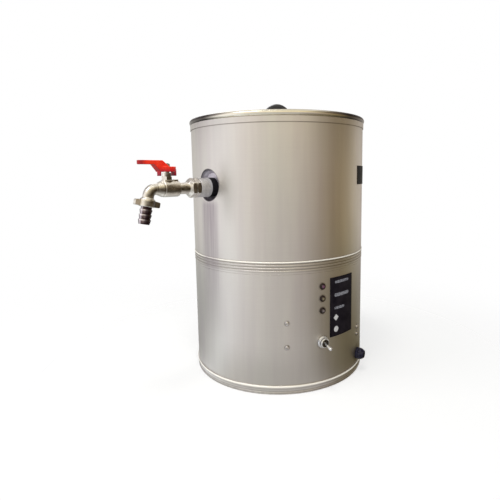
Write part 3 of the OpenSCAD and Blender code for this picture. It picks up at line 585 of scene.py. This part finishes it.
# Dirt and painted contact shade round what is fixed to the sheet, out to a reach from its middle
fixings = [(middle, 0.0056) for middle in islands("casing_screws")]
fixings += [(middle, 0.0080) for middle in islands("lamp_bezels")]
fixings += [(islands("switch_nut")[0], 0.0135), (islands("gland_body")[0], 0.0215)]
dirt_and_contact_shade = 0.0
for fixing, reach in fixings:
    fixing_arc = math.atan2(fixing.x, -fixing.y) * casing_radius
    away = distance_to(tree, arc, height, fixing_arc, fixing.z)
    dirt_and_contact_shade = compute(tree, "MAXIMUM", dirt_and_contact_shade, step(tree, away, reach, reach * 0.62))
specks = patches(tree, place, 0.0028, detail=4, contrast=2.6)
dirt_and_contact_shade = times(tree, dirt_and_contact_shade, spread_to(tree, specks, 0.25, 1.0))
color = stain(tree, color, dirt_and_contact_shade, 0.62, (0.17, 0.14, 0.08))
rough = plus(tree, rough, times(tree, dirt_and_contact_shade, 0.1))

# Weld down the back of each course
from_back = minus(tree, math.pi * casing_radius, compute(tree, "ABSOLUTE", arc))
weld = step(tree, from_back, 0.0022, 0.0006)
color = stain(tree, color, weld, 0.50, (0.42, 0.38, 0.35))
dress(tree, shader, color, rough, relief(tree, weld, 0.00025, normal), metal)
paint(casing_steel, "lower_casing", "upper_casing", "mouth_ring")


# ---- Foot ring and bottom cover ----
# A ring rolled from the same sheet, with a bead that the casing stands on, and a pressed
# cover under it. The bead has a painted highlight. Below it the rolling has left dark lines,
# and the foot is scuffed and dull from being pushed about.
foot_steel, tree, shader, place, color, rough, normal = satin_steel("foot_steel")
scuff_top = 0.009
roll_top = 0.011
roll_pitch = 0.0034
bead_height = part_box("lower_casing")[0][2] - 0.0019
height = split(tree, place)[2]
scuffs = patches(tree, place, 0.006, upright=0.5, contrast=3)
scuffs = times(tree, scuffs, step(tree, height, scuff_top, 0.001))
color = stain(tree, color, scuffs, 0.35, (0.34, 0.34, 0.33))
wave = compute(tree, "COSINE", times(tree, height, 2 * math.pi / roll_pitch))
rolls = times(tree, step(tree, wave, 0.0, -0.9), step(tree, height, roll_top, roll_top - 0.002))
color = stain(tree, color, rolls, 0.35, (0.25, 0.24, 0.22))
# Painted highlight: a pale, less metallic band along the bead
painted_foot_highlight = stripe(tree, height, bead_height, 0.0018, 0.0011)
color = blend(tree, painted_foot_highlight, color, (0.95, 0.92, 0.84))
dress(tree, shader, color, rough, normal, spread_to(tree, painted_foot_highlight, 1.0, 0.2))
paint(foot_steel, "base_ring", "base_plate")


# ---- Lid ----
# Pressed from one polished disc with a rolled rim, and lifted by its knob. The polish shows
# rings from the buffing wheel and the dull film that steam leaves. The rim has a painted dark
# reflection where it is seen at a slant, except towards the front left, as the main view needs.
def dot(tree, vector, direction):
    """How far a vector reaches along a direction."""
    values = {0: vector, 1: direction}
    return put(tree, "VectorMath", values, operation="DOT_PRODUCT").outputs["Value"]


lid_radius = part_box("lid_disc")[1][0]
rim_width = 0.0030
front_left = (-0.695, -0.719, 0)
lid_steel, tree, shader, place = finish("lid_steel", metallic=1.0)
x, y = split(tree, place)[:2]
rings = grain(tree, place, across=1800, along=3, detail=2)
film = patches(tree, place, 0.03, contrast=2)
color = blend(tree, film, (0.80, 0.76, 0.65), (0.88, 0.85, 0.76))
rim_start = lid_radius - rim_width
on_rim = step(tree, from_axis_of(tree, x, y), rim_start, rim_start + 0.0012)
off_front_left = step(tree, dot(tree, place, front_left), lid_radius * 0.89, lid_radius * 0.66)
slant = put(tree, "LayerWeight", {"Blend": 0.5}).outputs["Facing"]
# Painted dark reflection on the rim where it is seen at a slant, kept off the front left
rim_painted_reflection = times(tree, on_rim, times(tree, step(tree, slant, 0.05, 0.35), off_front_left))
color = stain(tree, color, rim_painted_reflection, 0.92, (0.030, 0.020, 0.024))
rough = plus(tree, spread_to(tree, rings, 0.10, 0.18), spread_to(tree, film, 0.0, 0.06))
waver = patches(tree, place, 0.05, detail=1)
dress(tree, shader, color, rough, relief(tree, waver, 0.0005))
paint(lid_steel, "lid_disc")


# ---- Tank ----
# A deep-drawn vessel hung in the mouth, with the overflow column in the middle of its floor
# and the lid's ring above it. Hard water has left pale scale up to a ragged water line.
tank_steel, tree, shader, place = finish("tank_steel", metallic=1.0)
rings = grain(tree, place, across=900, along=3, detail=2)
scale_marks = patches(tree, place, 0.012, upright=1.5, detail=6, contrast=2.6)
water_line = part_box("overflow_column")[1][2] - 0.012
ragged_by = 0.006
ragged = plus(tree, split(tree, place)[2], times(tree, minus(tree, scale_marks, 0.5), ragged_by))
wet = step(tree, ragged, water_line + 0.001, water_line - 0.001)
crust = times(tree, times(tree, wet, scale_marks), 0.55)
color = blend(tree, rings, (0.62, 0.60, 0.56), (0.74, 0.73, 0.70))
color = blend(tree, crust, color, (0.74, 0.72, 0.67))
rough = plus(tree, spread_to(tree, rings, 0.20, 0.32), crust)
dress(tree, shader, color, rough, relief(tree, crust, 0.0002), minus(tree, 1.0, crust))
paint(tank_steel, "inner_tank", "tank_floor", "overflow_column", "column_collar", "column_cap",
      "lid_ring")


# ---- Knob ----
# A black mushroom moulded in phenolic, held by a screw from inside the lid. Fine scratches
# and finger marks dull its gloss a little on top.
knob_black, tree, shader, place = finish(
    "knob_black", coat_weight=0.22, coat_roughness=0.03, specular_ior_level=0.06)
marks = patches(tree, place, 0.006, detail=5, contrast=2)
scratches = grain(tree, place, across=1500, along=9, detail=4)
color = blend(tree, marks, (0.010, 0.010, 0.011), (0.022, 0.021, 0.021))
rough = plus(tree, spread_to(tree, marks, 0.10, 0.20), spread_to(tree, scratches, 0, 0.08))
dress(tree, shader, color, rough)
paint(knob_black, "lid_knob")


# ---- Bright fittings ----
# Screws, nuts and the tap's ball: steel and brass with bright plating, a little cloudy, and
# dark where dirt collects.
bright_plate, tree, shader, place = finish("bright_plate", metallic=1.0)
cloud = patches(tree, place, 0.004, detail=4, contrast=2.4)
fine = patches(tree, place, 0.0008)
color = blend(tree, cloud, (0.40, 0.39, 0.40), (0.80, 0.79, 0.80))
rough = plus(tree, spread_to(tree, cloud, 0.10, 0.26), spread_to(tree, fine, 0, 0.06))
dress(tree, shader, color, rough, relief(tree, fine, 0.00003))
paint(bright_plate, "knob_screw", "lever_nut", "valve_ball", "casing_screws", "inlet_nut")


# ---- Toggle switch ----
# Washer, nut, ring and bat are nickel-plated, with a pale hazy shine. The bush they sit on,
# which the bat goes into, is painted dull and dark all over: painted shade for its mouth.
toggle_plate, tree, shader, place = finish("toggle_plate", metallic=0.8)
haze = patches(tree, place, 0.003, detail=4, contrast=2.2)
fine = patches(tree, place, 0.0007)
color = blend(tree, haze, (0.72, 0.73, 0.75), (0.90, 0.91, 0.94))
dress(tree, shader, color, spread_to(tree, fine, 0.08, 0.20), relief(tree, fine, 0.00003))
paint(toggle_plate, "switch_washer", "switch_nut", "switch_ring", "switch_lever")

bush_dark, tree, shader, place = finish("bush_dark", metallic=1.0)
bush_shade_mottle = patches(tree, place, 0.002, detail=4, contrast=2.2)
# Painted shade: the bush is dark all over, for the shade in its mouth
color = blend(tree, bush_shade_mottle, (0.035, 0.030, 0.028), (0.16, 0.14, 0.12))
dress(tree, shader, color, spread_to(tree, bush_shade_mottle, 0.25, 0.45))
paint(bush_dark, "switch_bush")


# ---- Water inlet ----
# A plated half-inch pipe through the casing, low on the back, with a parallel thread for the
# cold water's union. The valleys of the thread are darker.
thread_pitch = 0.001814
inlet_low, inlet_high = (Vector(corner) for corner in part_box("inlet_pipe"))
inlet_middle = (inlet_low + inlet_high) / 2
inlet_radius = inlet_middle.x - inlet_low.x
inlet_plate, tree, shader, place = finish("inlet_plate", metallic=1.0)
offset = put(tree, "VectorMath", {0: place, 1: tuple(inlet_middle)}, operation="SUBTRACT").outputs[0]
x, out, z = split(tree, offset)
turn = compute(tree, "DIVIDE", compute(tree, "ARCTAN2", z, x), 2 * math.pi)
turns = plus(tree, compute(tree, "DIVIDE", out, thread_pitch), turn)
flank = off_by(tree, compute(tree, "FRACT", turns), 0.5)
threaded = step(tree, from_axis_of(tree, x, z), inlet_radius - 0.0003, inlet_radius - 0.0001)
# The valleys of the thread are darkened
valley = times(tree, threaded, step(tree, flank, 0.22, 0.02))
cloud = patches(tree, place, 0.004, detail=4, contrast=2.4)
color = blend(tree, cloud, (0.66, 0.63, 0.58), (0.84, 0.82, 0.78))
color = stain(tree, color, valley, 0.80, (0.16, 0.14, 0.12))
thread = relief(tree, times(tree, flank, threaded), 0.0012)
dress(tree, shader, color, spread_to(tree, cloud, 0.14, 0.28), thread)
paint(inlet_plate, "inlet_pipe")


# ---- Tap joint ----
# The socket on the tank comes through a dished cup in the casing, with painted shade at its
# lip and in its bottom. A black rubber seal with a grey washer bonded to its outer end and a
# turned grey spacer sit on the socket, and the tap's lock nut clamps them.
cup_steel, tree, shader, place = finish("cup_steel", metallic=0.6)
y, z = split(tree, place)[1:3]
stained = patches(tree, place, 0.008, detail=4, contrast=2)
color = blend(tree, stained, (0.44, 0.41, 0.47), (0.70, 0.66, 0.73))
from_hole = distance_to(tree, y, z, 0.0, cup_middle)
# Painted shade at the cup's lip and in its bottom
shaded_lip = step(tree, from_hole, hole_radius - 0.0030, hole_radius - 0.0012)
color = stain(tree, color, shaded_lip, 0.75, (0.13, 0.12, 0.14))
shaded_bottom = step(tree, z, cup_middle - 0.012, cup_middle - 0.019)
color = stain(tree, color, shaded_bottom, 0.85, (0.03, 0.025, 0.035))
dress(tree, shader, color, spread_to(tree, stained, 0.26, 0.42), relief(tree, stained, 0.0001))
paint(cup_steel, "tap_cup", "tank_socket")

seal_rubber, tree, shader, place = finish("seal_rubber", specular_ior_level=0.15)
bloom = patches(tree, place, 0.005, detail=5, contrast=2.5)
color = blend(tree, bloom, (0.004, 0.004, 0.006), (0.016, 0.015, 0.018))
washer_start = casing_radius + 0.0019
washer = step(tree, times(tree, split(tree, place)[0], -1.0), washer_start, washer_start + 0.0003)
color = blend(tree, washer, color, (0.40, 0.39, 0.40))
dress(tree, shader, color, spread_to(tree, bloom, 0.45, 0.70), relief(tree, bloom, 0.00008))
paint(seal_rubber, "tap_seal", "gland_seal")

spacer_grey, tree, shader, place = finish("spacer_grey", metallic=0.55)
pits = patches(tree, place, 0.0022, detail=5, contrast=2.2)
grime = patches(tree, place, 0.010, contrast=2.4)
color = blend(tree, pits, (0.54, 0.53, 0.54), (0.74, 0.73, 0.74))
color = stain(tree, color, grime, 0.40, (0.22, 0.21, 0.20))
dress(tree, shader, color, spread_to(tree, grime, 0.42, 0.60), relief(tree, pits, 0.00012))
paint(spacer_grey, "tap_spacer")


# ---- Tap ----
# Body and spout are nickel-plated brass castings, so their edges are soft and their skin is
# slightly uneven. Inboard of the union's wings, upright flanks that face the front right have a
# painted dark brown reflection, and what is seen at a slant a painted dull brown one, as the
# main view needs.
front_right = (0.72, -0.69, 0)
upward = (0, 0, 1)


def facing(tree, direction):
    """How far the surface faces a direction: 1 when it does, -1 when it is turned away."""
    return dot(tree, put(tree, "NewGeometry").outputs["Normal"], direction)


def cast_piece(name, node_names, body, material, voxel, rounds):
    """Pieces cast in one, with eased edges, in place of their CAD nodes."""
    shape = bmesh.new()
    for node_name in node_names:
        part = merged_copy(node_name)
        mesh = bpy.data.meshes.new("part")
        part.to_mesh(mesh)
        part.free()
        shape.from_mesh(mesh)
        bpy.data.meshes.remove(mesh)
    piece = mesh_object(name, shape)
    remesh = piece.modifiers.new("cast", "REMESH")
    remesh.mode = "VOXEL"
    remesh.voxel_size = voxel
    remesh.use_smooth_shade = True
    ease = piece.modifiers.new("eased", "SMOOTH")
    ease.factor = 0.5
    ease.iterations = rounds
    piece.data.materials.append(material)
    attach(piece, body)
    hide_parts(*node_names)
    return piece


tap_nickel, tree, shader, place = finish("tap_nickel", metallic=1.0)
skin = patches(tree, place, 0.0016, detail=4, contrast=1.5)
lumps = patches(tree, place, 0.007, detail=2, contrast=1.5)
tap_mottle = patches(tree, place, 0.009, detail=6, contrast=3.0)
wing_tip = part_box("union_nut")[0][0]
color = blend(tree, skin, (0.84, 0.80, 0.72), (0.96, 0.94, 0.90))
# Painted dark brown reflection on upright flanks that face the front right, inboard of the wings
level = compute(tree, "ABSOLUTE", plus(tree, facing(tree, upward), 0.12))
flank = step(tree, plus(tree, level, times(tree, tap_mottle, 0.25)), 0.80, 0.25)
painted_brown_reflection = times(tree, flank, spread_to(tree, tap_mottle, 0.72, 1.0))
painted_brown_reflection = times(tree, painted_brown_reflection, step(tree, facing(tree, front_right), -0.45, 0.35))
inboard = step(tree, split(tree, place)[0], wing_tip + 0.007, wing_tip + 0.014)
color = blend(tree, times(tree, painted_brown_reflection, inboard), color, (0.050, 0.034, 0.012))
# Painted dull brown reflection where the plating is seen at a slant
slant = put(tree, "LayerWeight", {"Blend": 0.5}).outputs["Facing"]
color = stain(tree, color, step(tree, slant, 0.62, 0.95), 0.40, (0.24, 0.20, 0.15))
rough = plus(tree, spread_to(tree, skin, 0.24, 0.32), times(tree, tap_mottle, 0.07))
dress(tree, shader, color, rough, relief(tree, skin, 0.00005, relief(tree, lumps, 0.0003)))
paint(tap_nickel, "tap_locknut", "packing_nut", "tap_stem")
cast_piece("tap_casting", ["tap_body", "tap_spout"], "housing", tap_nickel,
           voxel=0.00040, rounds=5)
cast_piece("union_casting", ["union_nut"], "housing", tap_nickel,
           voxel=0.00032, rounds=4)


# ---- Hose tail ----
# Turned brass whose plating has gone: dark red-brown in the grooves, partly patina and partly
# painted shade, and pale on the crests of the barbs, partly wear and partly a painted highlight.
# As the main view needs, it has painted reflections: near black where it faces the front right,
# paler on the other side, and dark again farthest round to the back left.
tail_lean = math.radians(12.5)
tail_axis = (-math.sin(tail_lean), 0.0, -math.cos(tail_lean))
tail_middle = tuple(islands("hose_tail")[0])
groove_radius = 0.0076
crest_radius = 0.0087
tail_brass, tree, shader, place = finish("tail_brass", metallic=1.0)
patina = patches(tree, place, 0.004, detail=5, contrast=2.4)
fine = patches(tree, place, 0.0010)
offset = put(tree, "VectorMath", {0: place, 1: tail_middle}, operation="SUBTRACT").outputs[0]
across = put(tree, "VectorMath", {0: offset, 1: tail_axis}, operation="CROSS_PRODUCT").outputs[0]
from_axis = length(tree, across)
to_right = facing(tree, front_right)
color = blend(tree, patina, (0.055, 0.030, 0.032), (0.36, 0.27, 0.27))
# Dark in the grooves, partly patina and partly painted shade
trough = step(tree, from_axis, groove_radius + 0.0006, groove_radius)
color = stain(tree, color, trough, 0.80, (0.030, 0.015, 0.016))
# Pale on the crests, partly wear and partly a painted highlight
crest = step(tree, from_axis, crest_radius - 0.0004, crest_radius)
color = blend(tree, times(tree, crest, spread_to(tree, patina, 0.2, 1.0)), color, (0.88, 0.83, 0.82))
# Painted reflections: near black facing the front right, a pale stripe, a dark back-left edge
color = stain(tree, color, step(tree, to_right, 0.0, 0.55), 0.88, (0.022, 0.010, 0.013))
color = stain(tree, color, step(tree, to_right, -0.20, -0.50), 0.45, (0.90, 0.84, 0.90))
color = stain(tree, color, step(tree, to_right, -0.58, -0.80), 0.90, (0.03, 0.02, 0.025))
dress(tree, shader, color, spread_to(tree, fine, 0.10, 0.22), relief(tree, fine, 0.00003))
paint(tail_brass, "hose_tail")


# ---- Tap lever ----
# Die-cast and dipped in glossy red, so that its corners are round. The coating has painted
# shade: a deeper red low down and underneath, darkest at the foot of the hub. It is also darker
# at the tip. Metal doesn't mirror the lever, so that the steel beside it stays grey.
lever_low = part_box("tap_lever")[0]
hub_base = lever_low[2]
lever_tip = lever_low[0]
lever_red, tree, shader, place = finish(
    "lever_red", coat_weight=0.08, coat_roughness=0.06, specular_ior_level=0.12)
along_lever = split(tree, place)[0]
height = split(tree, place)[2]
mottle = patches(tree, place, 0.006, detail=4, contrast=2)
peel = patches(tree, place, 0.0025, detail=2)
color = blend(tree, mottle, (0.86, 0.018, 0.008), (1.0, 0.055, 0.018))
# Painted shade: a deeper red low down on the hub
low = step(tree, height, hub_base + 0.014, hub_base + 0.004)
color = stain(tree, color, low, 0.85, (0.36, 0.002, 0.028))
# Darker at the tip
tip = step(tree, along_lever, lever_tip + 0.012, lever_tip + 0.001)
color = stain(tree, color, tip, 0.75, (0.20, 0.012, 0.022))
# Painted shade, broken up, at the very foot of the hub
painted_hub_shade = times(tree, step(tree, height, hub_base + 0.006, hub_base), spread_to(tree, mottle, 0.5, 1.0))
color = blend(tree, painted_hub_shade, color, (0.13, 0.003, 0.022))
# Painted shade on what faces down
under = step(tree, facing(tree, upward), -0.25, -0.85)
color = stain(tree, color, under, 0.80, (0.30, 0.006, 0.012))
dress(tree, shader, color, spread_to(tree, peel, 0.22, 0.36), relief(tree, peel, 0.00006))
red_lever = cast_piece("red_lever", ["tap_lever"], "tap_handle", lever_red,
                       voxel=0.00040, rounds=6)
red_lever.visible_glossy = False


# ---- Lamps ----
# Three indicator lamps in black bezels: a tinted rod with a domed end, with a painted
# highlight round the middle of the dome.
bezel_black, tree, shader, place = finish("bezel_black", specular_ior_level=0.25)
worn = patches(tree, place, 0.003, detail=4, contrast=2)
color = blend(tree, worn, (0.006, 0.003, 0.003), (0.030, 0.016, 0.012))
dress(tree, shader, color, spread_to(tree, worn, 0.22, 0.40))
paint(bezel_black, "lamp_bezels")


def lens_finish(name, node_name, edge_color, highlight_color):
    """Tinted lens with a painted highlight round the middle of its dome."""
    low, high = (Vector(corner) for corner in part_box(node_name))
    middle = (low + high) / 2
    outward = Vector((middle.x, middle.y, 0)).normalized()
    dome_tip = outward * (casing_radius + 0.003) + Vector((0, 0, middle.z))
    material, tree, shader, place = finish(name, coat_weight=1.0, coat_roughness=0.04)
    away = put(tree, "VectorMath", {0: place, 1: tuple(dome_tip)}, operation="DISTANCE").outputs["Value"]
    haze = patches(tree, place, 0.0012, contrast=2)
    painted_glint = times(tree, step(tree, away, 0.0026, 0.0010), spread_to(tree, haze, 0.6, 1.0))
    color = blend(tree, painted_glint, edge_color, highlight_color)
    dress(tree, shader, color, spread_to(tree, haze, 0.10, 0.22))
    paint(material, node_name)


lens_finish("lens_purple", "lamp_lens_top", (0.035, 0.007, 0.022), (0.17, 0.050, 0.125))
lens_finish("lens_amber", "lamp_lens_middle", (0.030, 0.018, 0.008), (0.24, 0.20, 0.12))
lens_finish("lens_clear", "lamp_lens_bottom", (0.020, 0.011, 0.011), (0.22, 0.18, 0.18))


# ---- Control plate and nameplate ----
# Thin plates with a dark printed film, stuck on the casing. The control plate is printed with
# plain marks: a grey bar beside each lamp, and a pale diamond and dot above the switch.
plate_film, tree, shader, place = finish("plate_film", specular_ior_level=0.08)
x, y, height = split(tree, place)
arc = arc_of(tree, x, y)
print_edge = 0.0006
bars = 0.0
for middle, level, half_length, half_width in (
        (-0.0050, 0.1702, 0.0145, 0.0024),
        (-0.0052, 0.1492, 0.0145, 0.0030),
        (-0.0108, 0.1282, 0.0095, 0.0025)):
    away = distance_to(tree, arc, height, middle, level, half_length)
    bars = compute(tree, "MAXIMUM", bars, step(tree, away, half_width, half_width - print_edge))
breaks = put(tree, "TexNoise", {"Vector": place, "Scale": 900.0, "Detail": 1.0}).outputs["Fac"]
bars = times(tree, bars, spread_to(tree, step(tree, breaks, 0.40, 0.58), 0.22, 1.0))
dot_arc, dot_height, dot_radius = -0.0183, 0.0936, 0.0050
from_dot = distance_to(tree, arc, height, dot_arc, dot_height)
printed_dot = step(tree, from_dot, dot_radius, dot_radius - 0.0005)
diamond_arc, diamond_height, diamond_reach = -0.0186, 0.1127, 0.0058
from_diamond = plus(tree, off_by(tree, arc, diamond_arc), off_by(tree, height, diamond_height))
diamond = step(tree, from_diamond, diamond_reach, diamond_reach - 0.0007)
haze = patches(tree, place, 0.012, detail=5, contrast=2)
worn = patches(tree, place, 0.0016, contrast=3)
color = blend(tree, haze, (0.0045, 0.0034, 0.0075), (0.0165, 0.0130, 0.0180))
color = blend(tree, bars, color, (0.29, 0.29, 0.32))
solid = times(tree, compute(tree, "MAXIMUM", printed_dot, diamond), spread_to(tree, worn, 0.75, 1.0))
color = blend(tree, solid, color, (0.62, 0.61, 0.60))
dress(tree, shader, color, spread_to(tree, haze, 0.40, 0.55))
paint(plate_film, "control_plate")

name_film, tree, shader, place = finish("name_film", specular_ior_level=0.02)
haze = patches(tree, place, 0.010, detail=5, contrast=2.4)
color = blend(tree, haze, (0.004, 0.004, 0.004), (0.016, 0.015, 0.015))
dress(tree, shader, color, spread_to(tree, haze, 0.30, 0.50))
paint(name_film, "nameplate")


# ---- Cable gland ----
# A black nylon gland low on the right. Its nut is fluted for the fingers, and closes a rubber
# seal round the mains cable.
gland_nylon, tree, shader, place = finish(
    "gland_nylon", specular_ior_level=0.3, coat_weight=0.15, coat_roughness=0.08)
# Dust, and lighter navy patches that are a painted sheen on the flutes
dust_and_sheen = patches(tree, place, 0.0035, detail=5, contrast=2.5)
color = blend(tree, times(tree, dust_and_sheen, 0.5), (0.002, 0.002, 0.010), (0.040, 0.040, 0.090))
dress(tree, shader, color, spread_to(tree, dust_and_sheen, 0.16, 0.34), relief(tree, dust_and_sheen, 0.00005))
paint(gland_nylon, "gland_body", "gland_nut")
